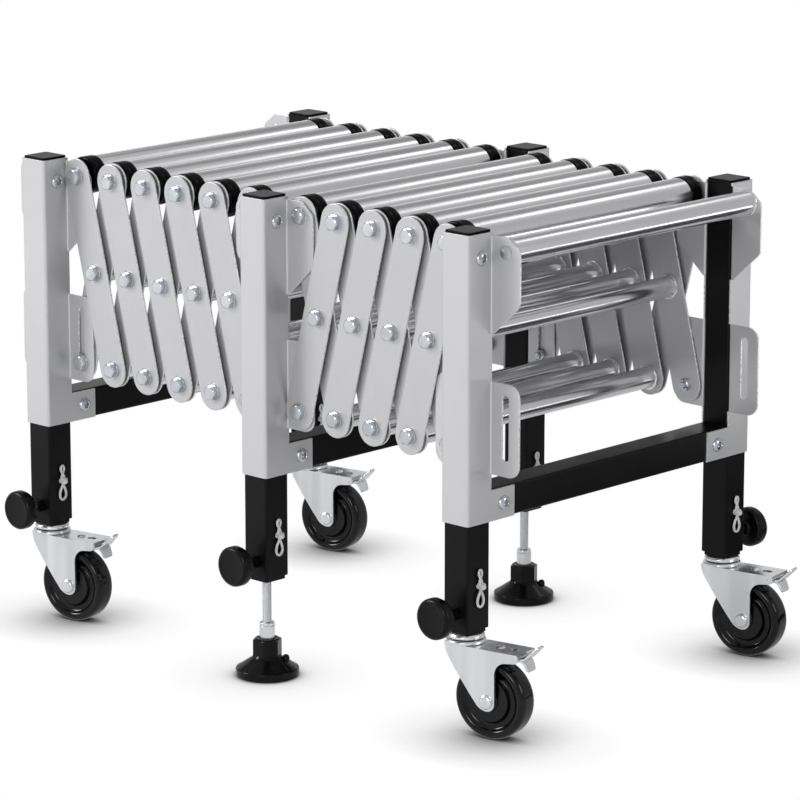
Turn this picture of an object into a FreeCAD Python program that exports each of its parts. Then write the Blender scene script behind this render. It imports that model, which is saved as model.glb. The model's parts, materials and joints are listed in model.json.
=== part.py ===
import FreeCAD
import Part
import math
import os

# Scissor roller conveyor: three portal frames joined by two scissor lattices that carry rollers.
# X runs along the conveyor towards the end bar, Y across it, Z up from the floor.
# Everything is modelled on the near side (negative Y) and mirrored to the far side.
# All sizes are in millimetres.

# Posts, channels and crossbeams
tube_size = 40.0
tube_wall = 2.0
tube_corner = 3.0
sheet = 2.5
sheet_bend = 3.0
outer_width = 540.0
channel_low = 268.0
channel_height = 360.0
post_low = 134.0
plug_top = 3.0
plug_depth = 15.0
plug_clearance = 0.1
tab_length = 42.0
tab_height = 39.0
tab_bolt_from_edge = 22.0
tab_bolt_height = 20.0
post_bolt_below_top = 30.0

# Ears folded out of the channels
ear_reach = 69.0
ear_top_drop = 4.0
ear_chamfer_x = 20.0
ear_chamfer_z = 16.0
ear_edge_low = 86.0
ear_root_low = 126.0
slot_ear_below = 19.5
slot_ear_above = 14.5
slot_ear_corner = 18.0
slot_side_clearance = 0.5
slot_end_clearance = 1.0

# Scissor lattice
left_cells = 5
right_cells = 4
collapsed_pitch = 64.0
arm_span = 260.0
arm_half_width = 22.5
arm_thickness = 3.0
layer_gap = 1.0
pivot_offset = 46.5
pivot_below_top = 22.0
opening_turn = 31.0

# Pivot bolts, axles and ties
pin_radius = 5.0
running_fit = 0.1
moving_gap = 0.3
head_radius = 10.0
head_corner_radius = 10.6
head_length = 7.0
head_edge = 1.5
nut_radius = 8.5
nut_length = 7.0
slot_pin_gap = 0.5
tie_radius = 14.0
tie_wall = 2.0
tie_flange_radius = 17.0
tie_flange_length = 3.0
tie_socket = 12.0
end_bar_radius = 16.0
end_bar_wall = 2.0

# Rollers
roller_radius = 24.0
roller_wall = 1.5
roller_end_gap = 1.5
cap_radius = 25.0
cap_length = 20.0
cap_plug = 14.0
cap_edge = 2.0

# Small frame bolts
bolt_radius = 4.0
bolt_head_radius = 8.5
bolt_head_length = 5.0

# Telescopic legs with their locks
leg_size = 35.0
leg_wall = 2.0
leg_top = 560.0
leg_base = 129.0
leg_base_length = 12.0
leg_travel = 300.0
lock_height = 190.0
lock_radius = 4.0
lock_slot_margin = 2.0
lock_head_radius = 7.0
lock_head_length = 4.0
lock_stick_out = 7.0
clip_wire = 1.25
clip_bend = 4.0
clip_above = 12.0
clip_back_above = 6.0
clip_below = 22.0
clip_from_post = 3.0
knob_height = 156.0
knob_radius = 26.0
knob_length = 18.0
knob_edge = 4.0
knob_from_post = 26.0
knob_stud_radius = 4.0
knob_stud_tip = 0.1
weld_nut_radius = 9.0
weld_nut_length = 8.0

# Casters
caster_turn = 10.0
caster_trail = 42.0
wheel_radius = 50.0
wheel_width = 30.0
wheel_edge = 5.0
wheel_groove_outer = 40.0
wheel_groove_inner = 27.0
wheel_groove_depth = 4.0
hub_radius = 13.0
wheel_hub_width = 34.0
wheel_bore = 6.0
fork_gap = 36.0
fork_plate = 3.0
fork_top = 116.0
fork_front = -24.0
fork_tail = 86.0
fork_tail_low = 102.0
fork_arch_x = 52.0
fork_arch_low = 84.0
fork_arch_run = 8.5
fork_tip_radius = 12.0
race_radius = 25.0
race_top = 121.5
upper_race_radius = 23.0
upper_race_low = 122.0
king_pin_radius = 5.0
king_pin_into_leg = 4.0
axle_head_radius = 9.0
axle_head_length = 4.0
pedal_pivot_x = 79.0
pedal_pivot_z = 108.0
pedal_pin_radius = 3.0
pedal_width = 30.0
pedal_plate = 3.0
pedal_tip_x = 110.0
pedal_tip_z = 128.0
shoe_tip_x = 95.0
shoe_tip_z = 93.0

# Levelling feet
pad_radius = 41.0
pad_rim = 11.0
pad_shoulder = 25.0
pad_neck_radius = 17.5
pad_neck_top = 49.0
rod_radius = 6.0
rod_top = 165.0
coupler_radius = 10.0
coupler_length = 22.0

# Distances and slopes below this are taken as equal when edges are picked
same_place = 0.01

# Places worked out from the driving sizes
outer_face = -outer_width / 2
post_y = outer_face + sheet + tube_size / 2
inner_edge = post_y + tube_size / 2
ear_outer = inner_edge - sheet
outer_arm_y = ear_outer - layer_gap - arm_thickness
inner_arm_y = inner_edge + layer_gap
arm_inside = inner_arm_y + arm_thickness
channel_top = channel_low + channel_height
flange_x = tube_size / 2 + sheet
top_z = channel_top - pivot_below_top
lattice_height = math.sqrt(arm_span ** 2 - collapsed_pitch ** 2)
low_z = top_z - lattice_height
mid_z = (top_z + low_z) / 2
rest_lean = math.asin(collapsed_pitch / arm_span)
open_lean = rest_lean + math.radians(opening_turn)
slot_rise = arm_span * (math.cos(rest_lean) - math.cos(open_lean))
turn = math.radians(caster_turn)
tongue_slope = math.atan2(pedal_tip_z - pedal_pivot_z, pedal_tip_x - fork_tail - pedal_plate)
tongue_end = pedal_tip_x + pedal_plate / 2 * math.sin(tongue_slope)
caster_reach = tongue_end * math.cos(turn) + pedal_width / 2 * math.sin(turn)
left_spacing = left_cells * collapsed_pitch + 2 * pivot_offset
right_spacing = right_cells * collapsed_pitch + 2 * pivot_offset
left_x = (ear_reach - left_spacing - right_spacing - caster_reach) / 2
middle_x = left_x + left_spacing
right_x = middle_x + right_spacing


def vec(x, y, z):
    return FreeCAD.Vector(x, y, z)


ALONG_X = vec(1, 0, 0)
ALONG_Y = vec(0, 1, 0)
ALONG_Z = vec(0, 0, 1)


def block(x0, x1, y0, y1, z0, z1):
    return Part.makeBox(x1 - x0, y1 - y0, z1 - z0, vec(x0, y0, z0))


def bar_x(radius, x0, x1, y, z):
    return Part.makeCylinder(radius, x1 - x0, vec(x0, y, z), ALONG_X)


def bar_y(radius, x, y0, y1, z):
    return Part.makeCylinder(radius, y1 - y0, vec(x, y0, z), ALONG_Y)


def bar_z(radius, x, y, z0, z1):
    return Part.makeCylinder(radius, z1 - z0, vec(x, y, z0), ALONG_Z)


def fuse(first, *others):
    return first.multiFuse(list(others)).removeSplitter()


def far_side(shape):
    return shape.mirror(vec(0, 0, 0), ALONG_Y)


def pair(*shapes):
    return list(shapes) + [far_side(shape) for shape in shapes]


def upright_edges(shape):
    edges = []
    for edge in shape.Edges:
        direction = edge.Vertexes[-1].Point - edge.Vertexes[0].Point
        if direction.Length > 0 and 1 - abs(direction.normalize().z) < same_place:
            edges.append(edge)
    return edges


def plate_y(points, y0, y1):
    # A flat plate that lies across Y, from its outline in X and Z.
    outline = Part.makePolygon([vec(x, y0, z) for x, z in points + points[:1]])
    return Part.Face(outline).extrude(vec(0, y1 - y0, 0))


def square_tube(size, wall, x, y, z0, z1):
    body = block(x - size / 2, x + size / 2, y - size / 2, y + size / 2, z0, z1)
    body = body.makeFillet(tube_corner, upright_edges(body))
    bore = size / 2 - wall
    return body.cut(block(x - bore, x + bore, y - bore, y + bore, z0, z1))


def round_head(radius, length, edge, x, y_face, z, outward):
    # A round head that stands on the plane y_face and points along outward (-1 or 1).
    y_end = y_face + outward * length
    head = bar_y(radius, x, min(y_face, y_end), max(y_face, y_end), z)
    rims = [rim for rim in head.Edges if abs(rim.CenterOfMass.y - y_end) < same_place]
    return head.makeChamfer(edge, rims[:1])


def bolt_head(x, y_face, z):
    # A hexagon bolt head with a chamfered crown; it points away from the conveyor's middle.
    crown = round_head(head_radius, head_length, head_edge, x, y_face, z, -1)
    return crown.common(hex_nut(head_corner_radius, x, y_face - head_length, y_face, z))


def hex_nut(radius, x, y0, y1, z):
    corners = [math.radians(60 * step) for step in range(6)]
    ring = [(x + radius * math.cos(angle), z + radius * math.sin(angle)) for angle in corners]
    return plate_y(ring, y0, y1)


def export(name, solids):
    Part.makeCompound(solids).exportStep("parts/" + name + ".step")


# Frames: posts with plugs, folded channels, crossbeams and their bolts


def post(x):
    tube = square_tube(tube_size, tube_wall, x, post_y, post_low, channel_top)
    pass_hole = bolt_radius + running_fit
    bolt_hole = bar_x(pass_hole, x - tube_size, x + tube_size, post_y, channel_top - post_bolt_below_top)
    lock_hole = bar_x(lock_radius, x - tube_size, x + tube_size, post_y, lock_height)
    stud_hole = bar_y(knob_stud_radius + running_fit, x, outer_face, post_y, knob_height)
    return tube.cut(bolt_hole).cut(lock_hole).cut(stud_hole)


def plug(x):
    half = tube_size / 2
    neck = half - tube_wall - plug_clearance
    top = block(x - half, x + half, post_y - half, post_y + half, channel_top, channel_top + plug_top)
    top = top.makeFillet(tube_corner, upright_edges(top))
    neck_low = channel_top - plug_depth
    return fuse(top, block(x - neck, x + neck, post_y - neck, post_y + neck, neck_low, channel_top))


def top_ear(x, side):
    high = channel_top - ear_top_drop
    outline = [
        (x + side * tube_size / 2, high),
        (x + side * (ear_reach - ear_chamfer_x), high),
        (x + side * ear_reach, high - ear_chamfer_z),
        (x + side * ear_reach, channel_top - ear_edge_low),
        (x + side * flange_x, channel_top - ear_root_low),
        (x + side * tube_size / 2, channel_top - ear_root_low),
    ]
    hole = bar_y(pin_radius + running_fit, x + side * pivot_offset, ear_outer, inner_edge, top_z)
    return plate_y(outline, ear_outer, inner_edge).cut(hole)


def slotted_ear(x, side):
    slot_half = pin_radius + slot_side_clearance
    slot_x = x + side * pivot_offset
    slot_low = low_z - slot_end_clearance
    slot_high = low_z + slot_rise + slot_end_clearance
    low = slot_low - slot_half - slot_ear_below
    high = slot_high + slot_half + slot_ear_above
    edge = x + side * ear_reach
    root = x + side * tube_size / 2
    plate = block(min(edge, root), max(edge, root), ear_outer, inner_edge, low, high)
    middle_y = (ear_outer + inner_edge) / 2
    corners = [e for e in plate.Edges if abs(e.CenterOfMass.x - edge) < same_place]
    corners = [e for e in corners if abs(e.CenterOfMass.y - middle_y) < same_place]
    plate = plate.makeFillet(slot_ear_corner, corners)
    slot = block(slot_x - slot_half, slot_x + slot_half, ear_outer, inner_edge, slot_low, slot_high)
    for end in (slot_low, slot_high):
        slot = slot.fuse(bar_y(slot_half, slot_x, ear_outer, inner_edge, end))
    return plate.cut(slot)


def channel(x):
    shell = block(x - flange_x, x + flange_x, outer_face, inner_edge, channel_low, channel_top)
    corners = [e for e in upright_edges(shell) if abs(e.CenterOfMass.y - outer_face) < same_place]
    shell = shell.makeFillet(sheet_bend, corners)
    half = tube_size / 2
    shell = shell.cut(block(x - half, x + half, outer_face + sheet, inner_edge, channel_low, channel_top))
    shell = fuse(shell, *[ear(x, side) for ear in (top_ear, slotted_ear) for side in (-1, 1)])
    tab_end = inner_edge + tab_length
    tab_top = channel_low + tab_height
    tabs = block(x - flange_x, x + flange_x, inner_edge, tab_end, channel_low, tab_top)
    shell = fuse(shell, tabs.cut(block(x - half, x + half, inner_edge, tab_end, channel_low, tab_top)))
    for y, z in bolt_places():
        shell = shell.cut(bar_x(bolt_radius + running_fit, x - 2 * flange_x, x + 2 * flange_x, y, z))
    return shell


def bolt_places():
    post_bolt = (post_y, channel_top - post_bolt_below_top)
    tab_bolt = (inner_edge + tab_bolt_from_edge, channel_low + tab_bolt_height)
    return post_bolt, tab_bolt


def crossbeam(x):
    half = tube_size / 2
    bore = half - tube_wall
    reach = -inner_edge
    beam = block(x - half, x + half, -reach, reach, channel_low, channel_low + tube_size)
    floor = channel_low + tube_wall
    ceiling = channel_low + tube_size - tube_wall
    beam = beam.cut(block(x - bore, x + bore, -reach, reach, floor, ceiling))
    y, z = bolt_places()[1]
    for place in (y, -y):
        beam = beam.cut(bar_x(bolt_radius + running_fit, x - tube_size, x + tube_size, place, z))
    return beam


def frame_bolt(x, y, z):
    shank = bar_x(bolt_radius, x - flange_x, x + flange_x, y, z)
    left_head = bar_x(bolt_head_radius, x - flange_x - bolt_head_length, x - flange_x, y, z)
    right_head = bar_x(bolt_head_radius, x + flange_x, x + flange_x + bolt_head_length, y, z)
    return fuse(shank, left_head, right_head)


def lock_pin(x):
    half = tube_size / 2
    shank = bar_x(lock_radius, x - half, x + half + lock_stick_out, post_y, lock_height)
    head = bar_x(lock_head_radius, x - half - lock_head_length, x - half, post_y, lock_height)
    low = lock_height - half
    wire_hole = bar_z(clip_wire, x + half + clip_from_post, post_y, low, lock_height + half)
    return fuse(shank, head).cut(wire_hole)


def clip(x):
    wire_x = x + tube_size / 2 + clip_from_post
    bend_z = lock_height - clip_below
    back_y = post_y + 2 * clip_bend
    straight = bar_z(clip_wire, wire_x, post_y, bend_z, lock_height + clip_above)
    back = bar_z(clip_wire, wire_x, back_y, bend_z, lock_height + clip_back_above)
    bend = Part.makeTorus(clip_bend, clip_wire, vec(wire_x, post_y + clip_bend, bend_z), ALONG_X)
    room = 2 * clip_bend + clip_wire
    lower = block(wire_x - room, wire_x + room, post_y - room, back_y + room, bend_z - room, bend_z)
    return fuse(straight, back, bend.common(lower))


def weld_nut(x):
    face = post_y - tube_size / 2
    nut = hex_nut(weld_nut_radius, x, face - weld_nut_length, face, knob_height)
    return nut.cut(bar_y(knob_stud_radius + running_fit, x, face - weld_nut_length, face, knob_height))


# Bolts, axles and ties of the lattice; each one rides on the piece that its head or flange stands on


def tie_bolt(x, z):
    # Screwed into a tie tube through the inner arm; the outer arm turns on it.
    head_face = outer_arm_y - moving_gap
    head = bolt_head(x, head_face, z)
    shank = bar_y(pin_radius, x, head_face, arm_inside + tie_socket, z)
    washer = bar_y(nut_radius, x, outer_arm_y + arm_thickness + moving_gap, inner_arm_y, z)
    return fuse(head, shank, washer)


def tie_tube(x, z):
    body = bar_y(tie_radius, x, arm_inside, -arm_inside, z)
    flanges = pair(bar_y(tie_flange_radius, x, arm_inside, arm_inside + tie_flange_length, z))
    body = fuse(body, *flanges)
    hollow = bar_y(tie_radius - tie_wall, x, arm_inside + tie_socket, -arm_inside - tie_socket, z)
    return body.cut(hollow).cut(bar_y(pin_radius, x, arm_inside, -arm_inside, z))


def tie(x, z):
    return [tie_tube(x, z)] + pair(tie_bolt(x, z))


def inner_slot_pin(x, z):
    # Held by an inner arm, with its head outside the slotted ear.
    head_face = ear_outer - slot_pin_gap
    head = bolt_head(x, head_face, z)
    shank = bar_y(pin_radius, x, head_face, arm_inside + nut_length, z)
    nut = hex_nut(nut_radius, x, arm_inside, arm_inside + nut_length, z)
    return fuse(head, shank, nut)


def outer_slot_pin(x, z):
    # Held by an outer arm, with its nut inside the slotted ear.
    head = bolt_head(x, outer_arm_y, z)
    nut_start = inner_edge + slot_pin_gap
    shank = bar_y(pin_radius, x, outer_arm_y, nut_start + nut_length, z)
    nut = hex_nut(nut_radius, x, nut_start, nut_start + nut_length, z)
    return fuse(head, shank, nut)


def axle(x, z, near_ends):
    rod = bar_y(pin_radius, x, outer_arm_y - moving_gap, -outer_arm_y + moving_gap, z)
    return fuse(rod, *pair(*near_ends))


def arm_axle(x, z):
    # Held by a pair of outer arms; the inner arms and the roller turn on it.
    head = bolt_head(x, outer_arm_y, z)
    washer = bar_y(nut_radius, x, outer_arm_y + arm_thickness, inner_arm_y - moving_gap, z)
    return axle(x, z, [head, washer])


def end_axle(x, z):
    # Held by the ears of an end frame; the outer arms turn on it outside the ears.
    head = bolt_head(x, outer_arm_y - moving_gap, z)
    washer = bar_y(nut_radius, x, ear_outer - layer_gap + moving_gap, ear_outer, z)
    nut = hex_nut(nut_radius, x, inner_edge, arm_inside, z)
    return axle(x, z, [head, washer, nut])


def middle_axle(x, z):
    # Held by the ears of the middle frame; the inner arms turn on it inside the ears.
    head = bolt_head(x, ear_outer, z)
    washer = bar_y(nut_radius, x, inner_edge, inner_arm_y - moving_gap, z)
    return axle(x, z, [head, washer])


def end_bar(x, z):
    reach = -inner_edge
    socket = reach - tie_socket
    body = bar_y(end_bar_radius, x, -reach, reach, z)
    body = body.cut(bar_y(end_bar_radius - end_bar_wall, x, -socket, socket, z))
    return body.cut(bar_y(pin_radius, x, -reach, reach, z))


def end_bar_bolt(x, z):
    head = bolt_head(x, ear_outer, z)
    return fuse(head, bar_y(pin_radius, x, ear_outer, inner_edge + tie_socket, z))


def arm(top, low, y):
    # A flat bar with round ends and three pivot holes; top and low are its end pivots in X and Z.
    along = vec(low[0] - top[0], 0, low[1] - top[1]).normalize()
    aside = vec(-along.z, 0, along.x) * arm_half_width
    over = along * arm_half_width
    start = vec(top[0], y, top[1])
    finish = vec(low[0], y, low[1])
    edges = [
        Part.makeLine(start + aside, finish + aside),
        Part.Arc(finish + aside, finish + over, finish - aside).toShape(),
        Part.makeLine(finish - aside, start - aside),
        Part.Arc(start - aside, start - over, start + aside).toShape(),
    ]
    plate = Part.Face(Part.Wire(edges)).extrude(vec(0, arm_thickness, 0))
    for place in (start, finish, (start + finish) * 0.5):
        hole = bar_y(pin_radius + running_fit, place.x, y, y + arm_thickness, place.z)
        plate = plate.cut(hole)
    return plate


def roller(x):
    reach = -arm_inside - roller_end_gap
    body = reach - cap_length
    bore = roller_radius - roller_wall
    tube = bar_y(roller_radius, x, -body, body, top_z).cut(bar_y(bore, x, -body, body, top_z))
    rim = round_head(cap_radius, cap_length, cap_edge, x, -body, top_z, -1)
    cap = fuse(rim, bar_y(bore, x, -body, -body + cap_plug, top_z))
    cap = cap.cut(bar_y(pin_radius + running_fit, x, -reach, -body + cap_plug, top_z))
    return [tube] + pair(cap)


# Telescopic legs, knobs, casters and levelling feet


def leg_tube(x):
    tube = square_tube(leg_size, leg_wall, x, post_y, leg_base, leg_top)
    slot_half = lock_radius + lock_slot_margin
    slot_low = lock_height - slot_half
    slot_high = lock_height + leg_travel + slot_half
    near = post_y - slot_half
    far = post_y + slot_half
    return tube.cut(block(x - leg_size, x + leg_size, near, far, slot_low, slot_high))


def leg_end(x, bore):
    # The block that closes the tube's lower end and takes the caster or the levelling rod.
    half = leg_size / 2 - leg_wall
    end = block(x - half, x + half, post_y - half, post_y + half, leg_base, leg_base + leg_base_length)
    return end.cut(bar_z(bore + running_fit, x, post_y, leg_base, leg_base + leg_base_length))


def caster_leg(x):
    race = bar_z(upper_race_radius, x, post_y, upper_race_low, leg_base)
    race = race.cut(bar_z(king_pin_radius + running_fit, x, post_y, upper_race_low, leg_base))
    return [leg_tube(x), leg_end(x, king_pin_radius), race]


def foot_leg(x):
    return [leg_tube(x), leg_end(x, rod_radius)]


def knob(x):
    face = post_y - tube_size / 2
    back = face - knob_from_post
    disc = bar_y(knob_radius, x, back - knob_length, back, knob_height)
    rims = [edge for edge in disc.Edges if abs(edge.CenterOfMass.y - back) > same_place]
    rims = [edge for edge in rims if len(edge.Vertexes) == 1]
    disc = disc.makeFillet(knob_edge, rims)
    return fuse(disc, bar_y(knob_stud_radius, x, back, face + tube_wall - knob_stud_tip, knob_height))


def place_caster(shape, x, y):
    # Casters are drawn around their swivel axis with the wheel trailing to +X, then turned and set in place.
    placed = shape.copy()
    placed.rotate(vec(0, 0, 0), ALONG_Z, caster_turn)
    placed.translate(vec(x, y, 0))
    return placed


def fork_side(y0):
    lean = vec(fork_front - caster_trail, 0, fork_top - fork_plate - wheel_radius).normalize()
    touch_x = caster_trail - lean.z * fork_tip_radius
    touch_z = wheel_radius + lean.x * fork_tip_radius
    outline = [
        (fork_front, fork_top),
        (fork_front, fork_top - fork_plate),
        (touch_x, touch_z),
        (caster_trail, wheel_radius),
        (caster_trail + fork_tip_radius, wheel_radius),
        (fork_arch_x, fork_arch_low),
        (fork_arch_x + fork_arch_run, fork_tail_low),
        (fork_tail, fork_tail_low),
        (fork_tail, fork_top),
    ]
    plate = plate_y(outline, y0, y0 + fork_plate)
    return plate.fuse(bar_y(fork_tip_radius, caster_trail, y0, y0 + fork_plate, wheel_radius))


def fork():
    half = fork_gap / 2
    top = block(fork_front, fork_tail, -half - fork_plate, half + fork_plate, fork_top - fork_plate, fork_top)
    race = bar_z(race_radius, 0, 0, fork_top, race_top)
    king_pin = bar_z(king_pin_radius, 0, 0, race_top, leg_base + king_pin_into_leg)
    body = fuse(top, race, king_pin, fork_side(-half - fork_plate), fork_side(half))
    body = body.cut(bar_y(wheel_bore, caster_trail, -2 * half, 2 * half, wheel_radius))
    return body.cut(bar_y(pedal_pin_radius + running_fit, pedal_pivot_x, -2 * half, 2 * half, pedal_pivot_z))


def wheel_axle():
    end = fork_gap / 2 + fork_plate
    shank = bar_y(wheel_bore, caster_trail, -end, end, wheel_radius)
    head = round_head(axle_head_radius, axle_head_length, head_edge, caster_trail, -end, wheel_radius, -1)
    return fuse(shank, *pair(head))


def wheel():
    half = wheel_width / 2
    body = bar_y(wheel_radius, caster_trail, -half, half, wheel_radius)
    body = body.makeFillet(wheel_edge, [edge for edge in body.Edges if len(edge.Vertexes) == 1])
    for side in (-half, half - wheel_groove_depth):
        ring = bar_y(wheel_groove_outer, caster_trail, side, side + wheel_groove_depth, wheel_radius)
        core = bar_y(wheel_groove_inner, caster_trail, side, side + wheel_groove_depth, wheel_radius)
        body = body.cut(ring.cut(core))
    hub = bar_y(hub_radius, caster_trail, -wheel_hub_width / 2, wheel_hub_width / 2, wheel_radius)
    bore = bar_y(wheel_bore + running_fit, caster_trail, -wheel_width, wheel_width, wheel_radius)
    return fuse(body, hub).cut(bore)


def strip(x0, z0, x1, z1):
    # A flat strip of pedal sheet between two points in X and Z.
    along = vec(x1 - x0, 0, z1 - z0).normalize()
    aside_x = -along.z * pedal_plate / 2
    aside_z = along.x * pedal_plate / 2
    outline = [
        (x0 + aside_x, z0 + aside_z),
        (x1 + aside_x, z1 + aside_z),
        (x1 - aside_x, z1 - aside_z),
        (x0 - aside_x, z0 - aside_z),
    ]
    return plate_y(outline, -pedal_width / 2, pedal_width / 2)


def pedal():
    pin_end = fork_gap / 2 + fork_plate
    pin = bar_y(pedal_pin_radius, pedal_pivot_x, -pin_end, pin_end, pedal_pivot_z)
    knuckle_radius = pedal_pin_radius + pedal_plate / 2
    half = pedal_width / 2
    knuckle = bar_y(knuckle_radius, pedal_pivot_x, -half, half, pedal_pivot_z)
    tongue_root = fork_tail + pedal_plate
    arm_plate = strip(pedal_pivot_x, pedal_pivot_z, tongue_root, pedal_pivot_z)
    tongue = strip(tongue_root, pedal_pivot_z, pedal_tip_x, pedal_tip_z)
    shoe = strip(tongue_root, pedal_pivot_z, shoe_tip_x, shoe_tip_z)
    return fuse(pin, knuckle, arm_plate, tongue, shoe)


def levelling_foot(x):
    profile = [
        vec(0, 0, 0),
        vec(pad_radius, 0, 0),
        vec(pad_radius, 0, pad_rim),
        vec(pad_neck_radius, 0, pad_shoulder),
        vec(pad_neck_radius, 0, pad_neck_top),
        vec(0, 0, pad_neck_top),
        vec(0, 0, 0),
    ]
    pad = Part.Face(Part.makePolygon(profile)).revolve(vec(0, 0, 0), ALONG_Z, 360)
    pad.translate(vec(x, post_y, 0))
    rod = bar_z(rod_radius, x, post_y, pad_neck_top, rod_top)
    coupler = bar_z(coupler_radius, x, post_y, pad_neck_top, pad_neck_top + coupler_length)
    return [pad, fuse(rod, coupler)]


# Build and write every node


os.makedirs("parts", exist_ok=True)

frames = {"left": left_x, "middle": middle_x, "right": right_x}

frame_axles = {
    "left": [end_axle(left_x + pivot_offset, top_z)],
    "middle": [middle_axle(middle_x - pivot_offset, top_z), middle_axle(middle_x + pivot_offset, top_z)],
    "right": [end_axle(right_x - pivot_offset, top_z)] + pair(end_bar_bolt(right_x + pivot_offset, top_z)),
}

for name, x in frames.items():
    export(name + "_posts", pair(post(x), plug(x)))
    channels = pair(channel(x))
    if name == "right":
        channels.append(end_bar(x + pivot_offset, top_z))
    export(name + "_channels", channels)
    export(name + "_crossbeam", [crossbeam(x)])
    bolts = [frame_bolt(x, y, z) for y, z in bolt_places()]
    export(name + "_fasteners", pair(*bolts, lock_pin(x), clip(x), weld_nut(x)) + frame_axles[name])
    export(name + "_knobs", pair(knob(x)))

for name in ("left", "right"):
    x = frames[name]
    export(name + "_legs", pair(*caster_leg(x)))
    for side, y in (("near", post_y), ("far", -post_y)):
        label = name + "_" + side
        export(label + "_caster_fork", [place_caster(shape, x, y) for shape in (fork(), wheel_axle())])
        export(label + "_wheel", [place_caster(wheel(), x, y)])
        export(label + "_brake_pedal", [place_caster(pedal(), x, y)])

export("middle_legs", pair(*foot_leg(middle_x)))
export("levelling_feet", pair(*levelling_foot(middle_x)))

# Left lattice: outer arms run from the upper pivot down towards the middle frame, inner arms the other way.
left_start = left_x + pivot_offset
for cell in range(left_cells):
    first_x = left_start + cell * collapsed_pitch
    next_x = first_x + collapsed_pitch
    outer = pair(arm((first_x, top_z), (next_x, low_z), outer_arm_y))
    inner = pair(arm((next_x, top_z), (first_x, low_z), inner_arm_y)) + tie((first_x + next_x) / 2, mid_z)
    if cell > 0:
        outer.append(arm_axle(first_x, top_z))
        inner += tie(first_x, low_z)
    else:
        inner += pair(inner_slot_pin(first_x, low_z))
    if cell == left_cells - 1:
        outer += pair(outer_slot_pin(next_x, low_z))
    export("left_outer_arms_" + str(cell + 1), outer)
    export("left_inner_arms_" + str(cell + 1), inner)

# Right lattice: the arms lean the opposite way.
right_start = middle_x + pivot_offset
for cell in range(right_cells):
    first_x = right_start + cell * collapsed_pitch
    next_x = first_x + collapsed_pitch
    outer = pair(arm((next_x, top_z), (first_x, low_z), outer_arm_y))
    inner = pair(arm((first_x, top_z), (next_x, low_z), inner_arm_y)) + tie((first_x + next_x) / 2, mid_z)
    if cell < right_cells - 1:
        outer.append(arm_axle(next_x, top_z))
        inner += tie(next_x, low_z)
    else:
        inner += pair(inner_slot_pin(next_x, low_z))
    if cell == 0:
        outer += pair(outer_slot_pin(first_x, low_z))
    export("right_outer_arms_" + str(cell + 1), outer)
    export("right_inner_arms_" + str(cell + 1), inner)

roller_places = [left_start + step * collapsed_pitch for step in range(left_cells + 1)]
roller_places += [right_start + step * collapsed_pitch for step in range(right_cells + 1)]
for number, x in enumerate(roller_places, 1):
    export("roller_" + str(number), roller(x))

print("left, middle, right frame x", left_x, middle_x, right_x)
print("pivot heights", top_z, mid_z, low_z)
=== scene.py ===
import json
import math

import bmesh
import bpy
from mathutils import Matrix, Vector

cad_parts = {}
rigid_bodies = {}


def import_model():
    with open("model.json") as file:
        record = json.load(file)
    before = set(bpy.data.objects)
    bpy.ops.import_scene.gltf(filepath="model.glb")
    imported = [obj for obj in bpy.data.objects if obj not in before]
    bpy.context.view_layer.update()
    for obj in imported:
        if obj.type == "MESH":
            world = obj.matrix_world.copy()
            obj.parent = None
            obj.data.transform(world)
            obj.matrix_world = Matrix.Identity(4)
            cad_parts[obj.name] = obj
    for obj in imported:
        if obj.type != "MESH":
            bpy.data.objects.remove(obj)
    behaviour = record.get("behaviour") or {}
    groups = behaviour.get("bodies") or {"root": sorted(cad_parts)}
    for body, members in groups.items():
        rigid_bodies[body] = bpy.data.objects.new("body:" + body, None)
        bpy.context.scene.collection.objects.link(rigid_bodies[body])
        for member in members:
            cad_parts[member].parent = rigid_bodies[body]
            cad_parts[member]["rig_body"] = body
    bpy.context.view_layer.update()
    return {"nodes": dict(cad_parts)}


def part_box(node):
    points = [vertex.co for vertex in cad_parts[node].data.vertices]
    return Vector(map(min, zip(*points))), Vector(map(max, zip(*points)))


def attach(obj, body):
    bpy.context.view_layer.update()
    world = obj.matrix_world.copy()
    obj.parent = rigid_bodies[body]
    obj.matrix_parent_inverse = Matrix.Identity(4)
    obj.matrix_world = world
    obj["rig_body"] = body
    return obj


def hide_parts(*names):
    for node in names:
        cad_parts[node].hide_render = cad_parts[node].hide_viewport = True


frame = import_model()

# Posts: two upright 40 mm square steel tubes to a portal frame, drawn with rounded corners and
# black powder coated. The lower end is open, and the leg slides up inside it.
post_size = 40.0
post_wall = 2.0
post_corner = 3.0
post_low = 134.0
post_top = 628.0
post_y = 247.5
sides = (-1, 1)


class Shade:
    """A socket of a finish; sums and products of shades add Math nodes."""

    def __init__(self, tree, socket=None):
        self.tree = tree
        self.socket = socket

    def node(self, kind, settings, inputs, out=0):
        made = self.tree.nodes.new("ShaderNode" + kind)
        for name, value in settings.items():
            if name == "stops":
                elements = made.color_ramp.elements
                while len(elements) < len(value):
                    elements.new(1.0)
                for element, (place, grey) in zip(elements, value):
                    element.position = place
                    element.color = (grey, grey, grey, 1.0)
            else:
                setattr(made, name, value)
        for name, value in inputs.items():
            if isinstance(value, Shade):
                self.tree.links.new(value.socket, made.inputs[name])
            else:
                made.inputs[name].default_value = value
        return Shade(self.tree, made.outputs[out] if made.outputs else None)

    def maths(self, operation, first, second):
        return self.node("Math", {"operation": operation}, {0: first, 1: second})

    def __add__(self, other):
        return self.maths("ADD", self, other)

    def __mul__(self, other):
        return self.maths("MULTIPLY", self, other)

    __radd__ = __add__
    __rmul__ = __mul__


def new_finish(name):
    finish = bpy.data.materials.new(name)
    finish.use_nodes = True
    finish.node_tree.nodes.clear()
    return finish, Shade(finish.node_tree)


def noise(shade, place, scale, detail=2.0):
    return shade.node("TexNoise", {}, {"Vector": place, "Scale": scale, "Detail": detail})


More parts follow.
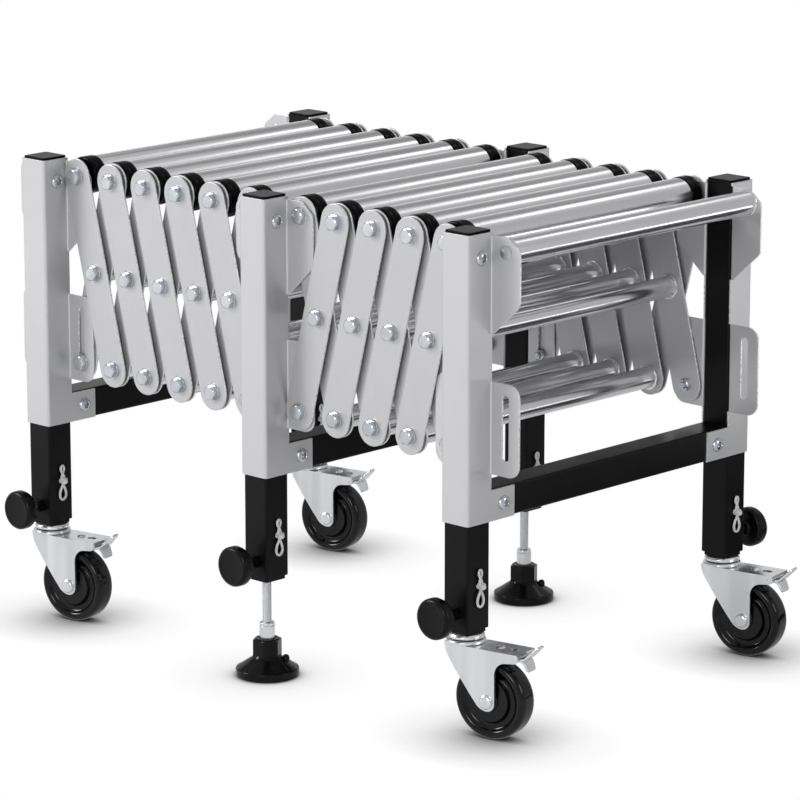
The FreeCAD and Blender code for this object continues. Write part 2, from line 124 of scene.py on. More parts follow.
def stretched(shade, scale):
    # Coordinates along the conveyor's own axes, stretched so that a pattern runs one way.
    place = shade.node("TexCoord", {}, {}, "Object")
    return shade.node("Mapping", {}, {"Vector": place, "Scale": scale})


def blended(shade, share, first, second):
    return shade.node("Mix", {"data_type": "RGBA"}, {0: share, 6: (*first, 1), 7: (*second, 1)}, 2)


def surface(shade, colour, roughness, relief, depth, **fixed):
    bump = shade.node("Bump", {}, {"Height": relief, "Strength": 1.0, "Distance": depth})
    inputs = {"Base Color": colour, "Roughness": roughness, "Normal": bump, **fixed}
    shader = shade.node("BsdfPrincipled", {}, inputs)
    shade.node("OutputMaterial", {}, {"Surface": shader})


def black_powder_coat():
    # Fine orange peel, a little dust in the hollows of the coat, and duller and shinier patches.
    finish, shade = new_finish("black_powder_coat")
    place = stretched(shade, (1, 1, 1))
    peel = noise(shade, place, 900.0, 3.0)
    patches = noise(shade, place, 14.0, 4.0)
    colour = blended(shade, patches, (0.003, 0.003, 0.0033), (0.006, 0.006, 0.0064))
    gloss = {"Specular IOR Level": 0.13}
    surface(shade, colour, 0.22 + 0.10 * patches + 0.06 * peel, peel, 0.00004, **gloss)
    return finish


millimetre = 0.001
bevel_from = math.radians(40)


def add_piece(name, bm, finish, slot, node, wall=0.0, wall_side=0.0, edge=0.0, rim=None, crease=50.0):
    """Makes a piece that stands for a CAD node from a mesh drawn in millimetres."""
    bmesh.ops.scale(bm, vec=(millimetre, millimetre, millimetre), verts=bm.verts)
    mesh = bpy.data.meshes.new(name)
    bm.to_mesh(mesh)
    bm.free()
    mesh.materials.append(finish)
    mesh.shade_smooth()
    if not edge:
        mesh.set_sharp_from_angle(angle=math.radians(crease))
    made = bpy.data.objects.new(name, mesh)
    bpy.context.scene.collection.objects.link(made)
    if wall:
        solid = made.modifiers.new("wall", "SOLIDIFY")
        solid.thickness = wall * millimetre
        solid.offset = wall_side
        solid.use_even_offset = True
        if rim:
            mesh.materials.append(rim)
            solid.material_offset_rim = 1
    if edge:
        rounding = made.modifiers.new("edges", "BEVEL")
        rounding.width = edge * millimetre
        rounding.segments = 2
        rounding.limit_method = "ANGLE"
        rounding.angle_limit = bevel_from
    flats = made.modifiers.new("flats", "WEIGHTED_NORMAL")
    flats.keep_sharp = True
    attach(made, frame["nodes"][node]["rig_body"])
    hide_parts(node)
    return made


def block(bm, low, high):
    verts = bmesh.ops.create_cube(bm, size=1.0)["verts"]
    low, high = Vector(low), Vector(high)
    bmesh.ops.scale(bm, vec=high - low, verts=verts)
    bmesh.ops.translate(bm, vec=(low + high) / 2, verts=verts)
    return verts


def edges_along(verts, axis):
    edges = {edge for vert in verts for edge in vert.link_edges}
    lines = [(edge, edge.verts[0].co - edge.verts[1].co) for edge in edges]
    return [edge for edge, line in lines if abs(line[axis]) > 0.99 * line.length]


def round_off(bm, geom, size, segments, affect="EDGES"):
    return bmesh.ops.bevel(bm, geom=geom, offset=size, offset_type="OFFSET", segments=segments,
                           profile=0.5, affect=affect, material=-1, clamp_overlap=True)


def square_tube(bm, x, y, low, high, size, corner):
    # The outer skin of a square tube, open at both ends.
    half = size / 2
    verts = block(bm, (x - half, y - half, low), (x + half, y + half, high))
    bm.normal_update()
    ends = [face for face in {f for v in verts for f in v.link_faces} if abs(face.normal.z) > 0.5]
    bmesh.ops.delete(bm, geom=ends, context="FACES_ONLY")
    round_off(bm, edges_along(verts, 2), corner, 4)


frame_x = {}
for name in ("left", "middle", "right"):
    low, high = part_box(name + "_posts")
    frame_x[name] = (low.x + high.x) / 2 / millimetre

black_coat = black_powder_coat()
for name, x in frame_x.items():
    bm = bmesh.new()
    for side in sides:
        square_tube(bm, x, side * post_y, post_low, post_top, post_size, post_corner)
    add_piece(name + "_post_tubes", bm, black_coat, "black_paint", name + "_posts",
              wall=post_wall, wall_side=-1, edge=0.4)


# Plugs: moulded black plastic inserts pressed into the upper ends of the posts. The cap is as
# wide as the tube, with rounded edges.
plug_thickness = 3.0


def black_moulding(name, shine, grain, level=0.16):
    # Smooth moulded plastic with a faint spark texture and flow marks in the gloss.
    finish, shade = new_finish(name)
    place = stretched(shade, (1, 1, 1))
    spark = noise(shade, place, grain, 2.0)
    flow = noise(shade, place, 25.0, 3.0)
    colour = blended(shade, flow, (0.002, 0.002, 0.0022), (0.004, 0.004, 0.0043))
    gloss = {"Specular IOR Level": level}
    surface(shade, colour, shine + 0.06 * flow + 0.04 * spark, spark, 0.00002, **gloss)
    return finish


plug_plastic = black_moulding("plug_plastic", 0.26, 1400.0, 0.05)
for name, x in frame_x.items():
    bm = bmesh.new()
    half = post_size / 2
    for side in sides:
        y = side * post_y
        verts = block(bm, (x - half, y - half, post_top), (x + half, y + half, post_top + plug_thickness))
        round_off(bm, edges_along(verts, 2), post_corner, 4)
    add_piece(name + "_post_plugs", bm, plug_plastic, "black_plastic", name + "_posts", edge=1.0)


# Channels: 2.5 mm steel sheet folded round the three outer faces of each post. Ears are folded out
# at the inner edge, the upper ones drilled for the pivot and the lower ones slotted, and two tabs
# clasp the crossbeam. The outside is painted satin silver.
sheet = 2.5
web_y = 268.75
flange_x = 21.25
ear_y = 228.75
ear_reach = 69.0
ear_bend = 3.5
web_bend = 3.0
channel_low = 268.0
tab_top = 307.0
tab_end = 185.5
slot_ear_low = 328.0
slot_ear_high = 444.0
slot_ear_corner = 17.0
top_ear_root = 502.0
top_ear_rise = 40.0
top_ear_high = 624.0
top_ear_chamfer = (20.0, 16.0)
ear_corner = 5.0
pivot_offset = 46.5
pivot_top = 606.0
pivot_hole = 5.1
slot_half = 5.5
slot_low = 347.5
slot_high = 429.5
close = 0.1
hole_steps = 24


def silver_paint():
    # Satin metallic paint: fine flake in the gloss, a slow drift in tone and a shallow orange peel.
    finish, shade = new_finish("silver_paint")
    place = stretched(shade, (1, 1, 1))
    flake = noise(shade, place, 2600.0, 1.0)
    drift = noise(shade, place, 5.0, 3.0)
    peel = noise(shade, place, 320.0, 2.0)
    colour = blended(shade, 0.5 * flake + 0.5 * drift, (0.585, 0.585, 0.60), (0.70, 0.70, 0.715))
    surface(shade, colour, 0.30 + 0.10 * drift + 0.06 * flake, peel, 0.00003, Metallic=0.55)
    return finish


def sheared_edge():
    # The cut edges of the silver sheets: a colour paler than the paint that stands in for the bright
    # highlight along them, over the shear marks.
    finish, shade = new_finish("sheared_edge")
    marks = noise(shade, stretched(shade, (1, 1, 0.3)), 700.0, 2.0)
    colour = blended(shade, marks, (0.86, 0.86, 0.87), (0.95, 0.95, 0.96))
    surface(shade, colour, 0.22 + 0.12 * marks, marks, 0.00001, Metallic=0.5)
    return finish


def pierce(bm, face, centre, half_width, half_length, axes=(0, 2)):
    # Cuts a round or slotted hole through a flat face; a slot runs along the second of the axes.
    rim = list(face.edges)
    straight = half_length - half_width
    ring = []
    for step in range(hole_steps):
        angle = 2 * math.pi * (step + 0.5) / hole_steps
        place = face.verts[0].co.copy()
        place[axes[0]] = centre[0] + half_width * math.cos(angle)
        place[axes[1]] = centre[1] + half_width * math.sin(angle) + math.copysign(straight, math.sin(angle))
        ring.append(bm.verts.new(place))
    rim += [bm.edges.new(pair) for pair in zip(ring, ring[1:] + ring[:1])]
    bmesh.ops.delete(bm, geom=[face], context="FACES_ONLY")
    bmesh.ops.triangle_fill(bm, edges=rim, use_beauty=True)


def rising_edges(bm, low, high):
    # The channel's free inner edges between two heights.
    edges = [edge for edge in bm.edges if len(edge.link_faces) == 1]
    spans = [(edge, sorted(vert.co.z for vert in edge.verts)) for edge in edges]
    return [edge for edge, span in spans if abs(span[0] - low) + abs(span[1] - high) < close]


def pulled(bm, edges, vector):
    made = bmesh.ops.extrude_edge_only(bm, edges=edges)["geom"]
    bmesh.ops.translate(bm, vec=vector, verts=[v for v in made if isinstance(v, bmesh.types.BMVert)])
    return [e for e in made if isinstance(e, bmesh.types.BMEdge)]


def fold_ear(bm, edge, side):
    # Bends a strip of the flange outwards, and runs it on flat to the ear's full reach.
    outward = math.copysign(1.0, edge.verts[0].co.x)
    centre = (outward * (flange_x + ear_bend), side * (ear_y + ear_bend), 0)
    bent = bmesh.ops.spin(bm, geom=[edge] + list(edge.verts), axis=(0, 0, 1), cent=centre,
                          angle=outward * side * math.pi / 2, steps=4, use_merge=False)
    last = [e for e in bent["geom_last"] if isinstance(e, bmesh.types.BMEdge)]
    pulled(bm, last, (outward * (ear_reach - flange_x - ear_bend), 0, 0))


def ear_tips(bm):
    return [vert for vert in bm.verts if abs(vert.co.x) > ear_reach - close]


def channel_sheet(x, side):
    bm = bmesh.new()
    flange_edge = ear_y + ear_bend
    fold = [(-flange_x, flange_edge), (-flange_x, web_y), (flange_x, web_y), (flange_x, flange_edge)]
    levels = [channel_low, tab_top, slot_ear_low, slot_ear_high, top_ear_root, top_ear_high, post_top]
    verts = [bm.verts.new((u, side * y, channel_low)) for u, y in fold]
    row = [bm.edges.new(pair) for pair in zip(verts, verts[1:])]
    for low, high in zip(levels, levels[1:]):
        made = pulled(bm, row, (0, 0, high - low))
        row = [e for e in made if abs(e.verts[0].co.z - e.verts[1].co.z) < close]
    inner_edge = ear_y - sheet / 2
    for low, high in zip(levels, levels[1:]):
        for edge in rising_edges(bm, low, high):
            if low in (slot_ear_low, top_ear_root):
                fold_ear(bm, edge, side)
            else:
                end = tab_end if low == channel_low else inner_edge
                pulled(bm, [edge], (0, side * (end - flange_edge), 0))
    bmesh.ops.remove_doubles(bm, verts=bm.verts, dist=0.01)
    bends = [e for e in edges_along(bm.verts, 2) if abs(e.verts[0].co.y) > web_y - close]
    round_off(bm, bends, web_bend, 4)
    for vert in ear_tips(bm):
        if abs(vert.co.z - top_ear_root) < close:
            vert.co.z += top_ear_rise
        if abs(vert.co.z - top_ear_high) < close:
            outward = math.copysign(1.0, vert.co.x)
            start = (outward * (ear_reach - top_ear_chamfer[0]), 0, top_ear_high)
            ear = list(vert.link_faces)
            geom = ear + list(ear[0].edges) + list(ear[0].verts)
            bmesh.ops.bisect_plane(bm, geom=geom, plane_co=start, clear_outer=True,
                                   plane_no=(outward * top_ear_chamfer[1], 0, top_ear_chamfer[0]))
    lower_tips = [v for v in ear_tips(bm) if v.co.z < slot_ear_high + close]
    round_off(bm, lower_tips, slot_ear_corner, 6, "VERTICES")
    upper_tips = [v for v in ear_tips(bm) if v.co.z > top_ear_root]
    round_off(bm, upper_tips, ear_corner, 3, "VERTICES")
    ears = [f for f in bm.faces if abs(f.calc_center_median().x) > flange_x + 2 * ear_bend]
    for face in ears:
        middle = face.calc_center_median()
        u = math.copysign(pivot_offset, middle.x)
        if middle.z < slot_ear_high:
            pierce(bm, face, (u, (slot_low + slot_high) / 2), slot_half, (slot_high - slot_low) / 2)
        else:
            pierce(bm, face, (u, pivot_top), pivot_hole, pivot_hole)
    bmesh.ops.recalc_face_normals(bm, faces=bm.faces)
    bmesh.ops.translate(bm, vec=(x, 0, 0), verts=bm.verts)
    return bm


def join(bm, other):
    mesh = bpy.data.meshes.new("joined")
    other.to_mesh(mesh)
    other.free()
    bm.from_mesh(mesh)
    bpy.data.meshes.remove(mesh)


silver = silver_paint()
# The rim faces of the sheets and arms carry a painted highlight along their cut edges.
edge_highlight_paint = sheared_edge()
for name, x in frame_x.items():
    bm = bmesh.new()
    for side in sides:
        join(bm, channel_sheet(x, side))
    add_piece(name + "_channel_sheets", bm, silver, "silver_paint", name + "_channels",
              wall=sheet, edge=0.8, rim=edge_highlight_paint)


# Crossbeams: a square steel tube between the two posts of a frame, clasped by the channels' tabs
# and bolted through them. Black powder coat, like the posts.
beam_reach = 227.5

for name, x in frame_x.items():
    bm = bmesh.new()
    half = post_size / 2
    verts = block(bm, (x - half, -beam_reach, channel_low), (x + half, beam_reach, channel_low + post_size))
    round_off(bm, edges_along(verts, 1), post_corner, 4)
    add_piece(name + "_crossbeam_tube", bm, black_coat, "black_paint", name + "_crossbeam", edge=0.3)


# Frame bolts: button head bolts that hold each channel to its post and each crossbeam between the
# tabs. Bright zinc plate, with a socket in the crown.
button_radius = 9.4
button_height = 5.0
socket_radius = 4.2
frame_bolts = [(post_y, 598.0), (205.5, 288.0)]
outer_flange = flange_x + sheet / 2


def zinc_plate(name, dull, tint, metal=1.0, drawn=1.0):
    # Bright plating: soft clouds, drawn out upright on pressed sheet, and a gloss that varies with them.
    finish, shade = new_finish(name)
    place = stretched(shade, (1, 1, 1))
    cloud = noise(shade, stretched(shade, (1, 1, drawn)), 45.0, 1.0)
    grain = noise(shade, place, 1500.0, 2.0)
    bands = shade.node("ValToRGB", {"stops": [(0.36, 0.0), (0.64, 1.0)]}, {"Fac": cloud})
    colour = blended(shade, bands, tint, [1.2 * part for part in tint])
    surface(shade, colour, dull + 0.06 * cloud + 0.04 * grain, grain, 0.00001, Metallic=metal)
    return finish


def kept_shape(bm):
    mesh = bpy.data.meshes.new("shape")
    bm.to_mesh(mesh)
    bm.free()
    return mesh


def turned(profile, steps, edge=0.0):
    """A shape turned about Z from a profile of radii and heights, with its corners rounded."""
    bm = bmesh.new()
    verts = [bm.verts.new((radius, 0, height)) for radius, height in profile]
    line = [bm.edges.new(pair) for pair in zip(verts, verts[1:])]
    bmesh.ops.spin(bm, geom=verts + line, axis=(0, 0, 1), cent=(0, 0, 0), angle=2 * math.pi, steps=steps,
                   use_merge=True)
    bmesh.ops.remove_doubles(bm, verts=bm.verts, dist=0.001)
    bmesh.ops.recalc_face_normals(bm, faces=bm.faces)
    if edge:
        corners = [e for e in bm.edges if len(e.link_faces) == 2 and e.calc_face_angle() > math.radians(35)]
        round_off(bm, corners, edge, 2)
    return kept_shape(bm)


def lay_turned(bm, shape, place, turn):
    # Adds a copy of a finished shape, turned and then moved to its place.
    start = len(bm.verts)
    bm.from_mesh(shape)
    bm.verts.ensure_lookup_table()
    bmesh.ops.transform(bm, matrix=Matrix.Translation(place) @ turn, verts=bm.verts[start:])


def lay(bm, shape, place, direction=(0, 0, 1)):
    # Adds a copy with its own upright axis along a direction.
    turn = Vector((0, 0, 1)).rotation_difference(Vector(direction)).to_matrix().to_4x4()
    lay_turned(bm, shape, place, turn)


zinc = zinc_plate("zinc_plate", 0.16, (0.46, 0.48, 0.51))
button_head = turned([
    (0, 0.8), (socket_radius * 0.8, 1.4), (socket_radius, 4.4), (socket_radius + 0.4, button_height),
    (6.0, 4.7), (7.8, 3.8), (8.9, 2.4), (button_radius, 1.0), (button_radius, 0), (0, 0),
], 24)
for name, x in frame_x.items():
    bm = bmesh.new()
    for side in sides:
        for y, z in frame_bolts:
            for way in sides:
                lay(bm, button_head, (x + way * outer_flange, side * y, z), (way, 0, 0))
    add_piece(name + "_frame_bolts", bm, zinc, "zinc_plate", name + "_fasteners")


# Leg locks: a steel pin goes through post and leg, and a spring wire clip through the pin's end
# keeps it there. Pin and clip are bright zinc plate.
lock_z = 190.0
pin_tip = 31.0
clip_x = 23.0
clip_wire = 1.7
clip_wave = 0.6
clip_path = [
    (3.2, 3.0), (1.2, 8.5), (-2.6, 12.5), (-4.0, 17.5), (-1.2, 21.5), (2.6, 20.0), (3.2, 15.5), (0.6, 10.0),
    (-2.2, 4.5), (-1.6, -2.0), (2.0, -8.0), (5.4, -15.0), (6.2, -22.0), (2.2, -27.0), (-3.0, -25.5),
    (-5.6, -19.5), (-4.2, -12.5), (-0.6, -6.5), (2.6, -1.0), (7.4, 1.6),
]


def bent_wire(points, radius):
    curve = bpy.data.curves.new("wire", "CURVE")
    curve.dimensions = "3D"
    curve.bevel_depth = radius
    curve.bevel_resolution = 3
    curve.use_fill_caps = True
    spline = curve.splines.new("NURBS")
    spline.points.add(len(points) - 1)
    for point, (x, y, z) in zip(spline.points, points):
        point.co = (x, y, z, 1)
    spline.order_u = 4
    spline.use_endpoint_u = True
    spline.resolution_u = 4
    made = bpy.data.objects.new("wire", curve)
    mesh = bpy.data.meshes.new_from_object(made)
    bpy.data.objects.remove(made)
    return mesh


lock_pin = turned([
    (0, -24.0), (6.2, -24.0), (7.0, -23.2), (7.0, -20.6), (6.4, -20.0), (4.0, -20.0), (4.0, pin_tip - 3.6),
    (3.7, pin_tip - 2.0), (2.8, pin_tip - 0.7), (1.5, pin_tip - 0.1), (0, pin_tip),
], 20)
spring_zinc = zinc_plate("spring_zinc", 0.24, (0.83, 0.83, 0.84), 0.0)
clip_points = [(clip_wave * math.sin(step * 0.8), y, z) for step, (y, z) in enumerate(clip_path)]
spring_clip = bent_wire(clip_points, clip_wire)
for name, x in frame_x.items():
    bm = bmesh.new()
    for side in sides:
        lay(bm, lock_pin, (x, side * post_y, lock_z), (1, 0, 0))
        lay(bm, spring_clip, (x + clip_x, side * post_y, lock_z))
    add_piece(name + "_leg_locks", bm, spring_zinc, "zinc_plate", name + "_fasteners")


# Clamp nuts: a hexagon nut welded to the outer face of each post for the clamp knob's stud. It is
# coated black together with the post.
nut_radius = 9.0
nut_length = 8.0
knob_z = 156.0
post_face = 267.5


def hexagon(radius, length, crown):
    # A hexagon head or nut on its base: a turned and chamfered disc, cut back to the six flats.
    flat = radius * math.cos(math.pi / 6)
    face = 0.9 * flat
    shape = turned([(0, length), (face, length), (radius, length - crown), (radius, 0), (0, 0)], 48)
    for vert in shape.vertices:
        reach = Vector((vert.co.x, vert.co.y)).length
        if reach > face + 0.01:
            angle = math.atan2(vert.co.y, vert.co.x) % (math.pi / 3) - math.pi / 6
            cut = min(reach, flat / math.cos(angle))
            vert.co.x *= cut / reach
            vert.co.y *= cut / reach
            if vert.co.z > 0:
                vert.co.z = length - crown * (cut - face) / (radius - face)
    return shape


weld_nut = hexagon(nut_radius, nut_length, 1.0)
for name, x in frame_x.items():
    bm = bmesh.new()
    for side in sides:
        lay(bm, weld_nut, (x, side * post_face, knob_z), (0, side, 0))
    add_piece(name + "_clamp_nuts", bm, black_coat, "black_paint", name + "_fasteners")


# Legs: square steel tubes that slide inside the posts, slotted on two sides for the lock pin and
# closed by a block at the lower end. Coated black like the posts.
leg_size = 35.0
leg_wall = 2.0
leg_low = 129.0
leg_top = 560.0
leg_slot = (184.0, 496.0)
leg_slot_half = 6.0
leg_block = 12.0
block_play = 0.05


def slotted_leg():
    bm = bmesh.new()
    square_tube(bm, 0, 0, leg_low, leg_top, leg_size, post_corner)
    bm.normal_update()
    half_height = (leg_slot[1] - leg_slot[0]) / 2
    for face in [f for f in bm.faces if abs(f.normal.y) > 0.99]:
        pierce(bm, face, (0, sum(leg_slot) / 2), leg_slot_half, half_height)
    bmesh.ops.rotate(bm, cent=(0, 0, 0), matrix=Matrix.Rotation(math.pi / 2, 3, "Z"), verts=bm.verts)
    return kept_shape(bm)


leg_tube = slotted_leg()
for name, x in frame_x.items():
    tubes = bmesh.new()
    blocks = bmesh.new()
    half = leg_size / 2 - leg_wall - block_play
    for side in sides:
        y = side * post_y
        lay(tubes, leg_tube, (x, y, 0))
        block(blocks, (x - half, y - half, leg_low), (x + half, y + half, leg_low + leg_block))
    add_piece(name + "_leg_tubes", tubes, black_coat, "black_paint", name + "_legs",
              wall=leg_wall, wall_side=-1, edge=0.4)
    add_piece(name + "_leg_ends", blocks, black_coat, "black_paint", name + "_legs", edge=0.5)


# Clamp knobs: moulded black hand wheels on a plated stud. The stud is screwed through the welded
# nut and presses on the leg.
knob_front = 311.5
knob_length = 18.0
stud_radius = 4.0
stud_start = -22.0
stud_tip = -46.0

knob_shape = turned([
    (0, -0.9), (19.2, -0.9), (20.0, -0.2), (21.0, -0.2), (22.6, -0.3), (24.6, -1.4), (25.8, -3.4),
    (26.0, -5.2), (26.0, -12.4), (25.6, -13.2), (25.0, -13.6), (24.6, -14.4), (24.0, -16.4), (22.0, -17.8),
    (19.0, -knob_length), (11.0, -knob_length), (9.6, -19.4), (9.0, -22.4), (8.2, -23.0), (0, -23.0),
], 64)
stud_profile = [(0, stud_start), (stud_radius, stud_start), (stud_radius, stud_tip), (0, stud_tip)]
knob_stud = turned(stud_profile, 20, 0.4)
knob_plastic = black_moulding("knob_plastic", 0.22, 1100.0)
for name, x in frame_x.items():
    knobs = bmesh.new()
    studs = bmesh.new()
    for side in sides:
        lay(knobs, knob_shape, (x, side * knob_front, knob_z), (0, side, 0))
        lay(studs, knob_stud, (x, side * knob_front, knob_z), (0, side, 0))
    add_piece(name + "_knob_wheels", knobs, knob_plastic, "black_plastic", name + "_knobs")
    add_piece(name + "_knob_studs", studs, zinc, "zinc_plate", name + "_knobs")


# Casters: a pressed fork of plated sheet under two stacked races, turned a little out of line.
# The wheel runs on a riveted axle, and the brake pedal is hinged in the fork's tail.
caster_turn = math.radians(10.0)
caster_trail = 42.0
wheel_radius = 50.0
fork_half = 19.5
fork_sheet = 3.0
fork_top = 114.5
fork_fold = 6.0
race_low = 116.0
race_joint = 122.0
fork_outline = [
    (-24.0, fork_top), (86.0, fork_top), (86.0, 105.0), (53.5, 101.5), (54.0, 38.0), (33.5, 38.0),
    (-24.0, 107.0),
]
fork_rounding = {2: 5.0, 3: 15.0, 4: 11.0, 5: 9.0, 6: 8.0}
nose_start = 34
nose_length = 70.0
tail_slot_x = 68.0
tail_slot = (5.0, 7.0)
tail_rivet_x = 50.0


def fork_shape():
    bm = bmesh.new()
    cheeks = []
    for y in (-fork_half, fork_half):
        cheeks.append([bm.verts.new((x, y, z)) for x, z in fork_outline])
        bm.faces.new(cheeks[-1])
    near, far = cheeks
    bm.faces.new((near[0], near[1], far[1], far[0]))
    bmesh.ops.recalc_face_normals(bm, faces=bm.faces)
    for number, size in fork_rounding.items():
        round_off(bm, [near[number], far[number]], size, 6, "VERTICES")
    folds = [e for e in bm.edges if len(e.link_faces) == 2]
    round_off(bm, folds, fork_fold, 4)
    for x in range(-22, nose_start, 4):
        geom = list(bm.verts) + list(bm.edges) + list(bm.faces)
        bmesh.ops.bisect_plane(bm, geom=geom, plane_co=(x, 0, 0), plane_no=(1, 0, 0))
    for vert in bm.verts:
        ahead = max(nose_start - vert.co.x, 0.0)
        vert.co.y *= math.sqrt(1 - (ahead / nose_length) ** 2)
    tail = max((f for f in bm.faces if abs(f.normal.z) > 0.99), key=lambda f: f.calc_center_median().x)
    pierce(bm, tail, (0, tail_slot_x), *tail_slot, (1, 0))
    bmesh.ops.recalc_face_normals(bm, faces=bm.faces)
    return kept_shape(bm)


def set_casters(name, shapes, finish, slot, part, **walls):
    # Puts shapes drawn round the swivel axis, with the wheel trailing to +X, on all four legs.
    for end in ("left", "right"):
        for label, side in (("near", -1), ("far", 1)):
            bm = bmesh.new()
            for shape, place, direction in shapes:
                lay(bm, shape, place, direction)
            turn = Matrix.Rotation(caster_turn, 4, "Z")
            move = Matrix.Translation((frame_x[end], side * post_y, 0))
            bmesh.ops.transform(bm, matrix=move @ turn, verts=bm.verts)
            node = end + "_" + label + "_" + part
            add_piece(end + "_" + label + "_" + name, bm, finish, slot, node, **walls)


caster_zinc = zinc_plate("caster_zinc", 0.20, (0.68, 0.69, 0.71), 0.9, 0.05)
set_casters("fork", [(fork_shape(), (0, 0, 0), (0, 0, 1))], caster_zinc, "zinc_plate", "caster_fork",
            wall=fork_sheet, edge=0.7)

lower_race = turned([
    (0, 0), (23.0, 0), (25.0, 1.4), (25.0, 3.6), (23.6, 5.2), (20.0, 5.5), (0, 5.5),
], 48, 0.5)
tail_rivet = turned([(0, 2.6), (3.2, 2.2), (5.4, 1.0), (6.0, 0.0), (0, 0)], 20)
axle_head = turned([(0, 3.6), (4.5, 3.9), (7.4, 3.4), (9.0, 2.0), (9.0, 0), (0, 0)], 28)
axle_y = fork_half + fork_sheet / 2
fork_details = [
    (lower_race, (0, 0, race_low), (0, 0, 1)),
    (tail_rivet, (tail_rivet_x, 0, race_low), (0, 0, 1)),
    (axle_head, (caster_trail, -axle_y, wheel_radius), (0, -1, 0)),
    (axle_head, (caster_trail, axle_y, wheel_radius), (0, 1, 0)),
]
set_casters("fork_details", fork_details, caster_zinc, "zinc_plate", "caster_fork")

upper_race = turned([
    (0, 0.2), (21.0, 0.2), (23.0, 1.4), (23.0, 4.2), (21.4, 6.4), (19.0, 7.0), (0, 7.0),
], 48, 0.5)
for end in ("left", "right"):
    bm = bmesh.new()
    for side in sides:
        lay(bm, upper_race, (frame_x[end], side * post_y, race_joint))
    add_piece(end + "_upper_races", bm, caster_zinc, "zinc_plate", end + "_legs")

wheel_side = [
    (6.1, 17.0), (12.0, 17.0), (13.0, 16.2), (13.6, 14.4), (22.5, 14.0), (24.0, 14.8), (26.4, 14.8),
    (27.4, 13.4), (28.8, 10.0), (30.8, 8.6), (34.6, 8.6), (37.0, 9.8), (39.0, 12.4), (40.6, 14.3),
    (44.4, 15.0), (46.8, 14.3), (48.6, 12.6), (49.6, 10.0), (wheel_radius, 6.0),
]
wheel_profile = wheel_side + [(r, -h) for r, h in reversed(wheel_side)] + wheel_side[:1]
wheel_rubber = black_moulding("wheel_rubber", 0.06, 700.0, 0.28)
wheel_shape = turned(wheel_profile, 96)
wheel_set = [(wheel_shape, (caster_trail, 0, wheel_radius), (0, 1, 0))]
set_casters("wheel_tyre", wheel_set, wheel_rubber, "wheel_rubber", "wheel")


def pedal_shape(path, half_width, tip_half, tip_corner):
    # A strip of sheet that follows a path in X and Z, narrower and rounded at its free end.
    bm = bmesh.new()
    x, z = path[0]
    ends = [bm.verts.new((x, y, z)) for y in (-half_width, half_width)]
    edges = [bm.edges.new(ends)]
    for (x0, z0), (x1, z1) in zip(path, path[1:]):
        made = pulled(bm, edges, (x1 - x0, 0, z1 - z0))
        edges = [e for e in made if abs(e.verts[0].co.y - e.verts[1].co.y) > half_width]
    for vert in bm.verts:
        share = (vert.co.x - path[0][0]) / (path[-1][0] - path[0][0])
        vert.co.y *= 1 + (tip_half / half_width - 1) * share
    round_off(bm, list(edges[0].verts), tip_corner, 4, "VERTICES")
    bmesh.ops.recalc_face_normals(bm, faces=bm.faces)
    return kept_shape(bm)


pedal_half = 14.5
pedal_sheet = 2.6
pedal_hinge = (79.0, 0, 108.0)
tongue = pedal_shape([(79.0, 108.2), (88.0, 108.2), (91.5, 110.0), (109.0, 126.8)], pedal_half, 6.5, 5.0)
shoe = pedal_shape([(80.0, 106.8), (87.0, 106.4), (90.0, 103.4), (95.0, 93.0)], pedal_half, 9.0, 4.0)
pedal_sheets = [(tongue, (0, 0, 0), (0, 0, 1)), (shoe, (0, 0, 0), (0, 0, 1))]
set_casters("pedal_sheet", pedal_sheets, caster_zinc, "zinc_plate", "brake_pedal",
            wall=pedal_sheet, edge=0.6)
pedal_pin = turned([
    (0, -21.6), (3.0, -21.6), (3.0, -15.0), (4.4, -15.0), (4.4, 15.0), (3.0, 15.0), (3.0, 21.6), (0, 21.6),
], 20, 0.4)
pin_set = [(pedal_pin, pedal_hinge, (0, 1, 0))]
set_casters("pedal_pin", pin_set, caster_zinc, "zinc_plate", "brake_pedal")


# Levelling feet: black moulded pads on plated threaded rods that are screwed up into the middle
# frame's legs. A coupling nut locks each rod in the pad's neck.
feet_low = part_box("levelling_feet")[0].z / millimetre
neck_low = 26.0
neck_top = 49.0
neck_radius = 19.2
coupler_top = 71.0
rod_radius = 6.0
rod_top = 165.0
thread_pitch = 1.75
thread_root = rod_radius - 0.9
pad_screw_place = (19.0, 15.0, 22.0)


def threaded_rod(low, high):
    # A profile of thread teeth turned once while it climbs by one pitch.
    bm = bmesh.new()
    teeth = int((high - low) / thread_pitch)
    points = []
    for tooth in range(teeth):
        base = low + tooth * thread_pitch
        points += [(rod_radius, base + 0.1), (rod_radius, base + 0.4)]
        points += [(thread_root, base + 0.95), (thread_root, base + 1.2)]
    verts = [bm.verts.new((radius, 0, height)) for radius, height in points]
    line = [bm.edges.new(pair) for pair in zip(verts, verts[1:])]
    steps = 20
    bmesh.ops.spin(bm, geom=verts + line, axis=(0, 0, 1), cent=(0, 0, 0), angle=2 * math.pi, steps=steps,
                   dvec=(0, 0, thread_pitch / steps), use_merge=False)
    bmesh.ops.remove_doubles(bm, verts=bm.verts, dist=0.02)
    bmesh.ops.recalc_face_normals(bm, faces=bm.faces)
    return kept_shape(bm)


